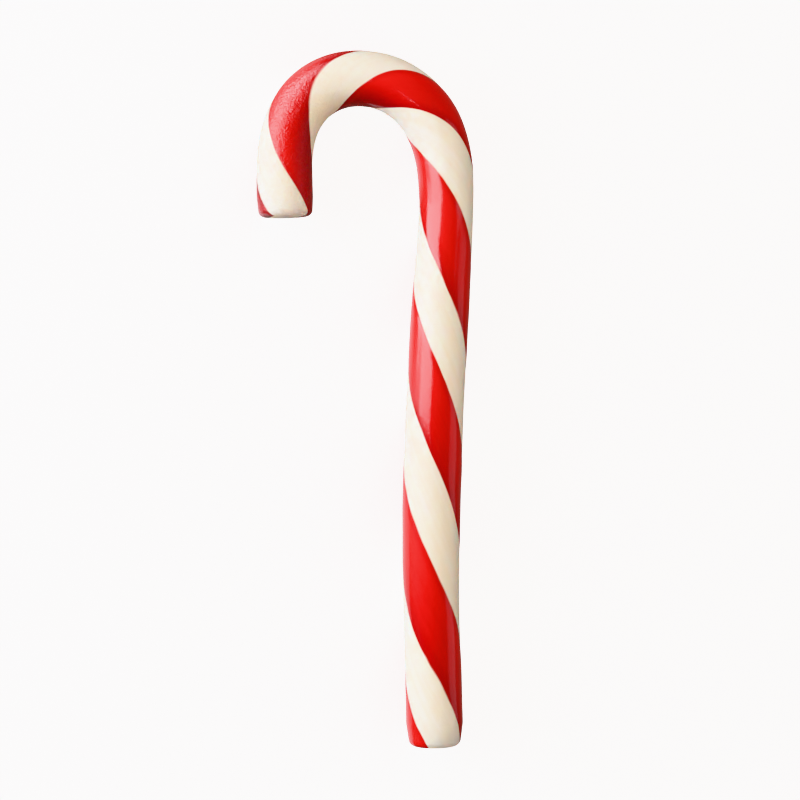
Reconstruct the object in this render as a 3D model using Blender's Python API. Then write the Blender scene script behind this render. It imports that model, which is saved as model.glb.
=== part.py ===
"""A striped candy cane of pulled sugar, lying on its flattened underside.

Run it with: blender --background --python part.py

The cane is one twisted rod, bent into a hook at its top end. +Y runs from the foot towards the
crown of the hook, +X from the hook towards the shaft, and +Z is up. The origin is the centre of
the cane's outline, on the plane that it rests on. Lengths below are in millimetres and angles in
degrees; distances along the rod start at the foot.
"""
import math

import bmesh
import bpy
import numpy as np

METRES = 0.001

# The bent rod
ROD_LENGTH = 195.5
FOOT_LEAN = 0.43
# (distance along the rod, degrees of bend to the left for each millimetre)
BEND_STATIONS = (
    (0.0, 0.155),
    (29.5, -0.11),
    (64.5, -0.07),
    (109.5, 0.0),
    (119.5, 0.64),
    (139.5, 3.09),
    (154.5, 3.24),
    (167.5, 4.05),
    (177.5, 2.71),
    (185.5, 0.75),
    (ROD_LENGTH, -0.26),
)
# (distance along the rod, radius): the pull left the rod a little uneven
RADIUS_STATIONS = (
    (0.0, 6.2),
    (30.0, 6.16),
    (60.0, 6.41),
    (95.0, 6.32),
    (118.0, 5.98),
    (136.0, 6.28),
    (155.0, 6.08),
    (ROD_LENGTH, 6.14),
)
FLAT_DEPTH = 0.25

# The two ends, cut while soft
END_FILLET = 1.3
FOOT_TAPER = 0.7
FOOT_TAPER_LENGTH = 5.0
TIP_TAPER = 0.3
TIP_TAPER_LENGTH = 4.0

# The stripes round the rod: (colour, degrees of the round that it covers)
STRIPES = (("red", 99.9), ("white", 90.1), ("red", 89.1), ("white", 80.9))
# The red was laid on the white, so it stands a little prouder, with a groove at each border
STRIPE_CROWN = {"red": 0.2, "white": 0.05}
CROWN_POWER = 5.0
GROOVE_DEPTH = 0.1
# The twist, tighter in the hook than in the shaft
FOOT_TURN = -68.6
# (distance along the rod, degrees of twist for each millimetre)
TWIST_STATIONS = (
    (0.0, 4.09),
    (60.0, 4.16),
    (105.0, 4.55),
    (150.0, 6.44),
    (170.0, 5.07),
    (ROD_LENGTH, 6.3),
)
# (distance along the rod, degrees that the stripes hang back on the bend's inner side)
LEAN_STATIONS = (
    (0.0, -11.3),
    (60.0, -0.6),
    (105.0, -5.3),
    (150.0, -7.8),
    (165.0, -14.5),
    (180.0, 2.1),
    (ROD_LENGTH, -2.5),
)
LEAN_STEPS = 3

# The mesh
COLUMN_ANGLE = 11.25
RING_SPACING = 1.55
FILLET_RINGS = 4
PATH_STEPS = 1601
SMOOTH_ANGLE = 40.0

COLOURS = {"red": (0.72, 0.012, 0.008), "white": (0.86, 0.79, 0.66)}
ROUGHNESS = {"red": 0.22, "white": 0.32}


def clear_scene():
    for old in list(bpy.data.objects):
        bpy.data.objects.remove(old, do_unlink=True)


def sugar_material(colour):
    material = bpy.data.materials.new("candy_" + colour)
    material.use_nodes = True
    shader = material.node_tree.nodes["Principled BSDF"]
    shader.inputs["Base Color"].default_value = (*COLOURS[colour], 1.0)
    shader.inputs["Roughness"].default_value = ROUGHNESS[colour]
    shader.inputs["Metallic"].default_value = 0.0
    return material


def running_total(rate, step):
    """The integral of rate from the first step up to each step."""
    middles = (rate[1:] + rate[:-1]) / 2.0
    return np.concatenate(([0.0], np.cumsum(middles * step)))


def at_stations(distance, stations):
    places, values = np.transpose(stations)
    return np.interp(distance, places, values)


def rod_path():
    """Distance along the rod, x, y, heading in radians and turn in degrees, in fine steps."""
    distance = np.linspace(0.0, ROD_LENGTH, PATH_STEPS)
    step = distance[1] - distance[0]
    bend = np.radians(at_stations(distance, BEND_STATIONS))
    heading = math.radians(FOOT_LEAN) + running_total(bend, step)
    x = running_total(-np.sin(heading), step)
    y = running_total(np.cos(heading), step)
    turn = FOOT_TURN + running_total(at_stations(distance, TWIST_STATIONS), step)
    return distance, x, y, heading, turn


def end_inset(from_end, taper, taper_length):
    """How far the surface lies inside the full radius, at a distance from a cut end."""
    narrowing = taper * max(0.0, 1.0 - from_end / taper_length)
    rise = max(0.0, END_FILLET - from_end)
    rounding = END_FILLET - math.sqrt(END_FILLET**2 - rise**2)
    return narrowing + rounding


def ring_places():
    """Distances along the rod: close together round the end fillets, even between them."""
    angles = [math.radians(90.0 * i / FILLET_RINGS) for i in range(FILLET_RINGS)]
    fillet = [END_FILLET * (1.0 - math.cos(angle)) for angle in angles]
    straight = ROD_LENGTH - 2.0 * END_FILLET
    count = round(straight / RING_SPACING)
    middle = [END_FILLET + straight * i / count for i in range(count + 1)]
    return fillet + middle + [ROD_LENGTH - place for place in reversed(fillet)]


def section_columns():
    """(degrees back from the first border, crown height, colour) for each column of the mesh."""
    columns = []
    border = 0.0
    for colour, width in STRIPES:
        count = round(width / COLUMN_ANGLE)
        for i in range(count):
            crown = STRIPE_CROWN[colour] * (1.0 - abs(2.0 * i / count - 1.0) ** CROWN_POWER)
            columns.append((border + width * i / count, crown, colour))
        border += width
    return columns


def leaned(even, lean):
    """The angle round the rod of a column that an even twist would put at the angle even."""
    angle = even
    for _ in range(LEAN_STEPS):
        angle = even - lean * math.sin(angle)
    return angle


def ring_points(place, path, columns):
    """One ring: columns round the rod, turned with the stripes, flat where the rod rests."""
    x, y, heading, turn = [np.interp(place, path[0], values) for values in path[1:]]
    full_radius = at_stations(place, RADIUS_STATIONS)
    inset = end_inset(place, FOOT_TAPER, FOOT_TAPER_LENGTH)
    inset += end_inset(ROD_LENGTH - place, TIP_TAPER, TIP_TAPER_LENGTH)
    lean = math.radians(at_stations(place, LEAN_STATIONS))
    left = (-math.cos(heading), -math.sin(heading))
    points = []
    for offset, crown, _ in columns:
        angle = leaned(math.radians(turn - offset), lean)
        radius = full_radius - inset - GROOVE_DEPTH + crown
        aside = radius * math.sin(angle)
        height = full_radius - FLAT_DEPTH + radius * math.cos(angle)
        points.append((x + aside * left[0], y + aside * left[1], max(height, 0.0)))
    return points


def build_cane():
    path = rod_path()
    columns = section_columns()
    rings = np.array([ring_points(place, path, columns) for place in ring_places()])
    low = rings.min(axis=(0, 1))
    high = rings.max(axis=(0, 1))
    rings -= ((low[0] + high[0]) / 2.0, (low[1] + high[1]) / 2.0, low[2])

    shape = bmesh.new()
    corners = [[shape.verts.new(point * METRES) for point in ring] for ring in rings]
    slots = {"red": 0, "white": 1}
    for ring, following in zip(corners, corners[1:]):
        for i, (_, _, colour) in enumerate(columns):
            j = (i + 1) % len(columns)
            face = shape.faces.new((ring[i], ring[j], following[j], following[i]))
            face.material_index = slots[colour]
    for end in (corners[0][::-1], corners[-1]):
        shape.faces.new(end).material_index = slots["white"]

    mesh = bpy.data.meshes.new("candy_cane")
    shape.to_mesh(mesh)
    shape.free()
    mesh.shade_smooth()
    mesh.set_sharp_from_angle(angle=math.radians(SMOOTH_ANGLE))
    for colour in slots:
        mesh.materials.append(sugar_material(colour))
    cane = bpy.data.objects.new("candy_cane", mesh)
    bpy.context.scene.collection.objects.link(cane)


clear_scene()
build_cane()
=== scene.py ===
"""The looks of the candy cane: a glossy twisted sugar rod, seen from straight above on a pale floor.

Lengths are in millimetres and angles in degrees unless a name says otherwise; the frame is in
metres. Distances along the rod start at the foot.
"""

import math

import bpy
import numpy as np
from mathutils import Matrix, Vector, noise


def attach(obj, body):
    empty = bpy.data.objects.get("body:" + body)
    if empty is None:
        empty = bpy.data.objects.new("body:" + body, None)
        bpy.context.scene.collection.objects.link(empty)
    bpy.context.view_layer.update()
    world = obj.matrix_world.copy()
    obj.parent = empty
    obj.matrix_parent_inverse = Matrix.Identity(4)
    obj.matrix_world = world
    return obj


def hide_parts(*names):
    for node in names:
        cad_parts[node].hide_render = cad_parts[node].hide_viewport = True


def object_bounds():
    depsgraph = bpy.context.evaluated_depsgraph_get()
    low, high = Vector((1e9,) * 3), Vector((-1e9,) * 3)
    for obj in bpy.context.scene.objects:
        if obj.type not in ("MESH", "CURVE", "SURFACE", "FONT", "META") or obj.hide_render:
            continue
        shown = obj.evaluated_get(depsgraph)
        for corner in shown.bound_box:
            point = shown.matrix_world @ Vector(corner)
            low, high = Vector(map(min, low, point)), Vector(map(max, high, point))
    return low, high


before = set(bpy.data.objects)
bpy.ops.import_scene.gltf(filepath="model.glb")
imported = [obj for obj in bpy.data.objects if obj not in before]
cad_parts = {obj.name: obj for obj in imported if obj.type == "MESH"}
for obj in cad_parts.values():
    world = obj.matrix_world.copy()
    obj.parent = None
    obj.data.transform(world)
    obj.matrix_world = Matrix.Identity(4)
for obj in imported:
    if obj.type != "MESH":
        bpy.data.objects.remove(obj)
CAD_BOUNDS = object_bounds()

METRES = 0.001

# The rod's path, as in the solid
ROD_LENGTH = 195.5
FOOT_LEAN = 0.43
BEND_STATIONS = (
    (0.0, 0.155), (29.5, -0.11), (64.5, -0.07), (109.5, 0.0), (119.5, 0.64), (139.5, 3.09),
    (154.5, 3.24), (167.5, 4.05), (177.5, 2.71), (185.5, 0.75), (ROD_LENGTH, -0.26),
)
RADIUS_STATIONS = (
    (0.0, 6.2), (30.0, 6.16), (60.0, 6.41), (95.0, 6.32), (118.0, 5.98), (136.0, 6.28),
    (155.0, 6.08), (ROD_LENGTH, 6.14),
)
FLAT_DEPTH = 0.25
END_FILLET = 1.3
FOOT_TAPER = 0.7
FOOT_TAPER_LENGTH = 5.0
TIP_TAPER = 0.3
TIP_TAPER_LENGTH = 4.0

# The stripes: (is red, degrees of the round), and the twist
STRIPES = ((True, 99.9), (False, 90.1), (True, 89.1), (False, 80.9))
RED_CROWN = 0.12
WHITE_CROWN = 0.05
CROWN_POWER = 8.0
GROOVE_DEPTH = 0.1
RED_LAYER = 1.4
FOOT_TURN = -68.6
# (distance along the rod, degrees of twist for each millimetre)
TWIST_STATIONS = (
    (0.0, 4.09), (60.0, 4.16), (105.0, 4.55), (150.0, 6.44), (170.0, 5.07), (ROD_LENGTH, 6.3),
)
# (distance along the rod, degrees that the stripes hang back on the bend's inner side)
LEAN_STATIONS = (
    (0.0, -11.3), (60.0, -0.6), (105.0, -5.3), (150.0, -7.8), (165.0, -14.5), (180.0, 2.1),
    (ROD_LENGTH, -2.5),
)

# The fine mesh
COLUMNS = 96
RING_SPACING = 0.225
FILLET_RINGS = 8
CAP_RINGS = 14
PATH_STEPS = 3921


def at_stations(distance, stations):
    places, values = np.transpose(stations)
    return np.interp(distance, places, values)


def running_total(rate, step):
    middles = (rate[1:] + rate[:-1]) / 2.0
    return np.concatenate(([0.0], np.cumsum(middles * step)))


def smooth_share(value, start, end):
    share = np.clip((value - start) / (end - start), 0.0, 1.0)
    return share * share * (3.0 - 2.0 * share)


def rod_path():
    """Distance, x, y, heading in radians and turn in degrees, in fine steps along the rod."""
    distance = np.linspace(0.0, ROD_LENGTH, PATH_STEPS)
    step = distance[1] - distance[0]
    bend = np.radians(at_stations(distance, BEND_STATIONS))
    heading = math.radians(FOOT_LEAN) + running_total(bend, step)
    x = running_total(-np.sin(heading), step)
    y = running_total(np.cos(heading), step)
    turn = FOOT_TURN + running_total(at_stations(distance, TWIST_STATIONS), step)
    return distance, x, y, heading, turn


def noise_field(points, size, seed):
    """Smooth noise from -1 to 1 at each point, with features about size across."""
    shift = Vector((seed * 17.3, seed * 5.1, seed * 9.7))
    return np.array([noise.noise(Vector(point) / size + shift) for point in points])


def end_inset(from_end, taper, taper_length):
    """How far the surface lies inside the full radius, at distances from a cut end."""
    narrowing = taper * np.maximum(0.0, 1.0 - from_end / taper_length)
    rise = np.maximum(0.0, END_FILLET - from_end)
    return narrowing + END_FILLET - np.sqrt(END_FILLET**2 - rise**2)


def ring_places():
    angles = np.radians(np.arange(FILLET_RINGS) * 90.0 / FILLET_RINGS)
    fillet = END_FILLET * (1.0 - np.cos(angles))
    count = round((ROD_LENGTH - 2.0 * END_FILLET) / RING_SPACING)
    middle = np.linspace(END_FILLET, ROD_LENGTH - END_FILLET, count + 1)
    return np.concatenate((fillet, middle, ROD_LENGTH - fillet[::-1]))


def stripe_shape(offset):
    """For degrees back from the first border: share across the stripe, its width and if it is red."""
    borders = np.cumsum([0.0] + [width for _, width in STRIPES])
    which = np.clip(np.searchsorted(borders, offset, side="right") - 1, 0, len(STRIPES) - 1)
    widths = np.array([width for _, width in STRIPES])[which]
    red = np.array([is_red for is_red, _ in STRIPES])[which]
    return (offset - borders[which]) / widths, widths, red


def build_rod():
    path = rod_path()
    places = ring_places()
    x, y, heading, turn = [np.interp(places, path[0], values) for values in path[1:]]
    offsets = np.arange(COLUMNS) * 360.0 / COLUMNS
    share, width, red = stripe_shape(offsets)
    crown = np.where(red, RED_CROWN, WHITE_CROWN) * (1.0 - np.abs(2.0 * share - 1.0) ** CROWN_POWER)

    full_radius = at_stations(places, RADIUS_STATIONS)
    inset = end_inset(places, FOOT_TAPER, FOOT_TAPER_LENGTH)
    inset = inset + end_inset(ROD_LENGTH - places, TIP_TAPER, TIP_TAPER_LENGTH)
    wall = full_radius - inset - GROOVE_DEPTH

    # the rings of the two cut faces, closing in from the wall's first and last ring
    closing = 1.0 - np.arange(1, CAP_RINGS + 1) / (CAP_RINGS + 0.5)
    ring_of = np.concatenate((np.zeros(CAP_RINGS, int), np.arange(len(places)),
                              np.full(CAP_RINGS, len(places) - 1)))
    scale = np.concatenate((closing[::-1], np.ones(len(places)), closing))

    radius = (wall[ring_of][:, None] + crown[None, :]) * scale[:, None]
    lean = np.radians(at_stations(places, LEAN_STATIONS))[ring_of][:, None]
    even = np.radians(turn[ring_of][:, None] - offsets[None, :])
    angle = even
    for _ in range(3):
        angle = even - lean * np.sin(angle)
    straight = np.stack((radius * np.cos(np.radians(offsets))[None, :],
                         radius * np.sin(np.radians(offsets))[None, :],
                         np.repeat(places[ring_of][:, None], COLUMNS, axis=1)), axis=-1)
    flat_points = straight.reshape(-1, 3)

    # uneven pulling: slow lumps, and fine lines that run with the twist
    lumps = noise_field(flat_points / (1.0, 1.0, 2.2), 5.0, 1).reshape(radius.shape)
    lines = noise_field(flat_points / (1.0, 1.0, 14.0), 0.9, 2).reshape(radius.shape)
    on_wall = (scale == 1.0)[:, None]
    line_depth = (0.008 - 0.003 * smooth_share(places, 120.0, 150.0))[ring_of][:, None]
    radius = radius + np.where(on_wall, 0.05 * lumps + line_depth * lines, 0.0)

    left = np.stack((-np.cos(heading), -np.sin(heading)), axis=-1)[ring_of]
    aside = radius * np.sin(angle)
    height = (full_radius - FLAT_DEPTH)[ring_of][:, None] + radius * np.cos(angle)
    points = np.empty(radius.shape + (3,))
    points[..., 0] = x[ring_of][:, None] + aside * left[:, 0:1]
    points[..., 1] = y[ring_of][:, None] + aside * left[:, 1:2]
    points[..., 2] = np.maximum(height, 0.0)

    # how far inside the red a point lies: round the rod, and in from the surface on a cut face
    across = np.minimum(share, 1.0 - share) * width
    round_depth = np.where(red, 1.0, -1.0) * across
    round_depth = np.radians(round_depth)[None, :] * radius
    layer = np.where(red, RED_LAYER * np.sin(np.pi * share), 0.0)
    skin = layer[None, :] - wall[ring_of][:, None] * (1.0 - scale)[:, None]
    red_depth = np.minimum(round_depth, skin)

    # how squarely a point faces the inside of the hook, which steers the painted shade on the red there
    inside = np.sin(angle) * smooth_share(places, 125.0, 150.0)[ring_of][:, None]

    # how far across its stripe, from the border nearer the foot
    across_stripe = np.broadcast_to(share, radius.shape)
    traits = {"red_depth": red_depth, "inside": inside, "across_stripe": across_stripe}
    return points, straight, traits


def rod_mesh():
    points, straight, traits = build_rod()
    rings = points.shape[0]
    low = points.min(axis=(0, 1))
    high = points.max(axis=(0, 1))
    solid_low, solid_high = np.array(CAD_BOUNDS)
    points = solid_low + (points - low) / (high - low) * (solid_high - solid_low)
    corner = np.arange(rings * COLUMNS).reshape(rings, COLUMNS)
    following = np.roll(corner, -1, axis=1)
    quads = np.stack((corner[:-1], following[:-1], following[1:], corner[1:]), axis=-1)
    faces = quads.reshape(-1, 4).tolist()
    faces.append(corner[0][::-1].tolist())
    faces.append(corner[-1].tolist())
    mesh = bpy.data.meshes.new("twisted_rod")
    mesh.from_pydata(points.reshape(-1, 3).tolist(), [], faces)
    mesh.attributes.new("straight", "FLOAT_VECTOR", "POINT")
    mesh.attributes["straight"].data.foreach_set("vector", straight.ravel())
    for name, values in traits.items():
        mesh.attributes.new(name, "FLOAT", "POINT")
        mesh.attributes[name].data.foreach_set("value", values.ravel())
    mesh.shade_smooth()
    mesh.set_sharp_from_angle(angle=math.radians(50.0))
    mesh.update()
    return mesh


class Shader:
    """Adds nodes to a material; an input's value is a number, a colour or another node's output."""

    def __init__(self, name):
        self.material = bpy.data.materials.new(name)
        self.material.use_nodes = True
        self.tree = self.material.node_tree
        self.surface = self.tree.nodes["Principled BSDF"]

    def put(self, socket, value):
        if isinstance(value, bpy.types.NodeSocket):
            self.tree.links.new(value, socket)
        else:
            socket.default_value = value

    def add(self, kind, inputs=(), **settings):
        node = self.tree.nodes.new(kind)
        for name, value in settings.items():
            setattr(node, name, value)
        for key, value in dict(inputs).items():
            self.put(node.inputs[key], value)
        return node

    def attribute(self, name, output):
        return self.add("ShaderNodeAttribute", attribute_name=name).outputs[output]

    def maths(self, operation, first, second=0.0):
        return self.add("ShaderNodeMath", {0: first, 1: second}, operation=operation).outputs[0]

    def stretched(self, vector, scale):
        node = self.add("ShaderNodeVectorMath", {0: vector, 1: scale}, operation="MULTIPLY")
        return node.outputs[0]

    def noise(self, vector, scale, detail=2.0, roughness=0.5):
        inputs = {"Vector": vector, "Scale": scale, "Detail": detail, "Roughness": roughness}
        return self.add("ShaderNodeTexNoise", inputs).outputs["Fac"]

    def remap(self, value, low, high, to_low=0.0, to_high=1.0):
        inputs = {"Value": value, "From Min": low, "From Max": high}
        inputs.update({"To Min": to_low, "To Max": to_high})
        node = self.add("ShaderNodeMapRange", inputs, interpolation_type="SMOOTHSTEP")
        return node.outputs["Result"]

    def mix(self, share, first, second):
        node = self.add("ShaderNodeMix", data_type="RGBA")
        self.put(node.inputs["Factor"], share)
        colours = [socket for socket in node.inputs if socket.type == "RGBA"]
        self.put(colours[0], first)
        self.put(colours[1], second)
        return [socket for socket in node.outputs if socket.type == "RGBA"][0]

    def bump(self, height, distance, normal=None):
        inputs = {"Height": height, "Distance": distance}
        node = self.add("ShaderNodeBump", inputs)
        if normal is not None:
            self.put(node.inputs["Normal"], normal)
        return node.outputs["Normal"]


def candy_material():
    make = Shader("striped_candy")
    straight = make.attribute("straight", "Vector")
    depth = make.attribute("red_depth", "Fac")

    # the borders wander a little and are slightly soft
    wander = make.noise(make.stretched(straight, (1.0, 1.0, 0.3)), 0.35)
    wander = make.remap(wander, 0.2, 0.8, -0.12, 0.12)
    is_red = make.remap(make.maths("ADD", depth, wander), -0.12, 0.12)

    # pulled sugar: streaks along the twist
    streaks = make.noise(make.stretched(straight, (1.0, 1.0, 0.05)), 0.8, detail=4.0)
    clouds = make.noise(straight, 0.12, detail=2.0)
    red = make.mix(make.remap(streaks, 0.3, 0.7), (0.59, 0.004, 0.002, 1.0), (0.65, 0.005, 0.003, 1.0))
    white = make.mix(make.remap(streaks, 0.3, 0.7), (0.92, 0.835, 0.715, 1.0), (0.95, 0.875, 0.785, 1.0))
    white = make.mix(make.remap(clouds, 0.4, 0.7, 0.0, 0.5), white, (0.92, 0.835, 0.71, 1.0))
    # the red is lighter along the middle of the shaft and towards its border nearer the hook, and darker towards its
    # border nearer the foot;
    # at both borders it is darkened, partly a darker rim of the red and partly painted groove shade; inside the hook
    # the darkening is painted shade
    dark_red = (0.27, 0.001, 0.004, 1.0)
    across = make.attribute("across_stripe", "Fac")
    inside = make.attribute("inside", "Fac")
    along = make.add("ShaderNodeSeparateXYZ", {0: straight}).outputs["Z"]
    bright = make.maths("MULTIPLY", make.remap(along, 40.0, 110.0, 0.0, 0.6), make.remap(along, 120.0, 150.0, 1.0, 0.2))
    red = make.mix(bright, red, (0.75, 0.008, 0.004, 1.0))
    red = make.mix(make.remap(across, 0.35, 0.8), red, (0.72, 0.007, 0.004, 1.0))
    red = make.mix(make.remap(across, 0.0, 0.4, 0.35, 0.0), red, dark_red)
    # painted groove shade at both borders, together with a darker rim of the red
    red = make.mix(make.remap(depth, 0.0, 0.8, 0.3, 0.0), red, dark_red)
    # painted shade on the red where it faces the inside of the hook
    red = make.mix(make.remap(inside, 0.1, 1.0, 0.0, 0.8), red, dark_red)
    # and darkest at the outer side of the tip
    outer_tip = make.maths("MULTIPLY", make.remap(along, 180.0, 186.0), make.remap(inside, -0.8, -0.5, 0.7, 0.0))
    red = make.mix(outer_tip, red, dark_red)
    colour = make.mix(is_red, white, red)

    # a fine grain, coarser towards the tip
    place = make.add("ShaderNodeTexCoord").outputs["Object"]
    grain = make.noise(place, 1700.0, detail=3.0, roughness=0.6)
    strength = make.remap(along, 150.0, 175.0, 0.1, 1.0)
    normal = make.bump(make.maths("MULTIPLY", grain, strength), 0.00026)

    surface = make.surface.inputs
    make.put(surface["Base Color"], colour)
    gloss = make.remap(streaks, 0.2, 0.8, 0.12, 0.18)
    matt = make.remap(streaks, 0.2, 0.8, 0.36, 0.46)
    is_white = make.maths("SUBTRACT", 1.0, is_red)
    gloss = make.maths("MULTIPLY", gloss, is_red)
    make.put(surface["Roughness"], make.maths("ADD", gloss, make.maths("MULTIPLY", matt, is_white)))
    make.put(surface["Normal"], normal)
    make.put(surface["IOR"], 1.5)
    make.put(surface["Subsurface Weight"], make.remap(is_red, 0.0, 1.0, 1.0, 0.15))
    make.put(surface["Subsurface Radius"], (1.0, 0.75, 0.6))
    make.put(surface["Subsurface Scale"], 0.014)
    return make.material


def floor_material():
    make = Shader("pale_floor")
    place = make.add("ShaderNodeTexCoord").outputs["Object"]
    cloud = make.noise(place, 3.0)
    tone = make.mix(cloud, (0.38, 0.39, 0.4, 1.0), (0.4, 0.41, 0.42, 1.0))
    make.put(make.surface.inputs["Base Color"], tone)
    make.put(make.surface.inputs["Roughness"], 0.8)
    make.put(make.surface.inputs["Specular IOR Level"], 0.2)
    make.put(make.surface.inputs["Emission Color"], (1.0, 1.0, 1.0, 1.0))
    make.put(make.surface.inputs["Emission Strength"], 1.7)
    return make.material


def add_object(name, data):
    item = bpy.data.objects.new(name, data)
    bpy.context.scene.collection.objects.link(item)
    return item


def add_cane():
    cane = add_object("twisted_rod", rod_mesh())
    cane.data.materials.append(candy_material())
    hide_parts("candy_cane")
    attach(cane, "root")


def add_floor():
    half = 3.0
    corners = [(-half, -half, 0.0), (half, -half, 0.0), (half, half, 0.0), (-half, half, 0.0)]
    mesh = bpy.data.meshes.new("floor")
    mesh.from_pydata(corners, [], [(0, 1, 2, 3)])
    mesh.materials.append(floor_material())
    floor = add_object("floor", mesh)
    floor.location.z = -0.0001
    floor.visible_glossy = False
    floor.visible_diffuse = False


def add_lamp(name, place, aim, size, radiance, colour, seen_by):
    """A rectangular lamp at a place in metres, facing the point aim."""
    lamp = bpy.data.lights.new(name, "AREA")
    lamp.shape = "RECTANGLE"
    lamp.size, lamp.size_y = size
    lamp.energy = radiance * math.pi * size[0] * size[1]
    lamp.color = colour
    item = add_object(name, lamp)
    item.location = place
    towards = Vector(aim) - Vector(place)
    item.rotation_euler = towards.to_track_quat("-Z", "Y").to_euler()
    item.visible_camera = False
    item.visible_diffuse = seen_by == "diffuse"
    item.visible_glossy = seen_by == "glossy"


def add_softboxes(colour):
    """Softboxes and dimmer cards, side by side in one tilted plane to the left of the cane."""
    middle = Vector((-0.402, 0.272, 0.24))
    facing = Vector((0.352, 0.0, -0.301))
    turn = facing.to_track_quat("-Z", "Y")
    for name, across, up, size, radiance in (
        ("far_softbox", -0.51, 0.01, (0.52, 0.48), 10.0),
        ("hook_softbox", -0.1, -0.09, (0.3, 0.36), 20.0),
        ("hook_card", -0.36, -0.36, (0.82, 0.24), 2.0),
        ("upper_softbox", 0.13, 0.01, (0.15, 0.62), 11.5),
        ("middle_softbox", 0.237, 0.168, (0.064, 0.435), 9.5),
        ("middle_card", 0.237, -0.335, (0.064, 0.57), 2.1),
    ):
        place = middle + turn @ Vector((across, up, 0.0))
        add_lamp(name, place, place + facing, size, radiance, colour, "glossy")


def add_lamps():
    cool = (0.95, 0.975, 1.045)
    warm = (1.0, 0.87, 0.77)
    pinkish = (1.0, 0.96, 1.03)
    centre = (0.0, 0.0, 0.006)
    add_lamp("key", (-0.54, 0.1, 0.21), centre, (0.5, 0.4), 8.2, cool, "diffuse")
    add_lamp("fill", (0.1, 0.45, 0.8), centre, (1.0, 1.0), 1.95, warm, "diffuse")
    add_softboxes(pinkish)
    add_lamp("right_card", (0.5, -0.13, 0.07), centre, (0.43, 0.34), 1.0, pinkish, "glossy")
    add_lamp("high_card", (0.5, 0.17, 0.255), centre, (0.16, 0.33), 1.8, pinkish, "glossy")
    # what the gloss sees of the lit table, to the left of the shaft and beyond the hook
    for name, y, width, radiance in (("near_table", -0.1375, 0.425, 1.45), ("far_table", 0.625, 0.85, 1.0)):
        add_lamp(name, (-1.0, y, -0.3), (-1.0, y, 0.0), (1.8, width), radiance, pinkish, "glossy")


def add_world():
    world = bpy.data.worlds.new("studio")
    world.use_nodes = True
    background = world.node_tree.nodes["Background"]
    background.inputs["Color"].default_value = (1.0, 0.87, 0.79, 1.0)
    background.inputs["Strength"].default_value = 0.33
    bpy.context.scene.world = world


def add_camera():
    lens, sensor = 100.0, 36.0
    view_width = 174.72 * METRES
    camera = bpy.data.cameras.new("camera")
    camera.lens = lens
    camera.sensor_width = sensor
    item = add_object("camera", camera)
    item.location = (0.00764, -0.00042, 0.0062 + view_width * lens / sensor)
    bpy.context.scene.camera = item


add_cane()
add_floor()
add_lamps()
add_world()
add_camera()
bpy.context.scene.view_settings.view_transform = "Khronos PBR Neutral"
bpy.context.scene.view_settings.look = "None"
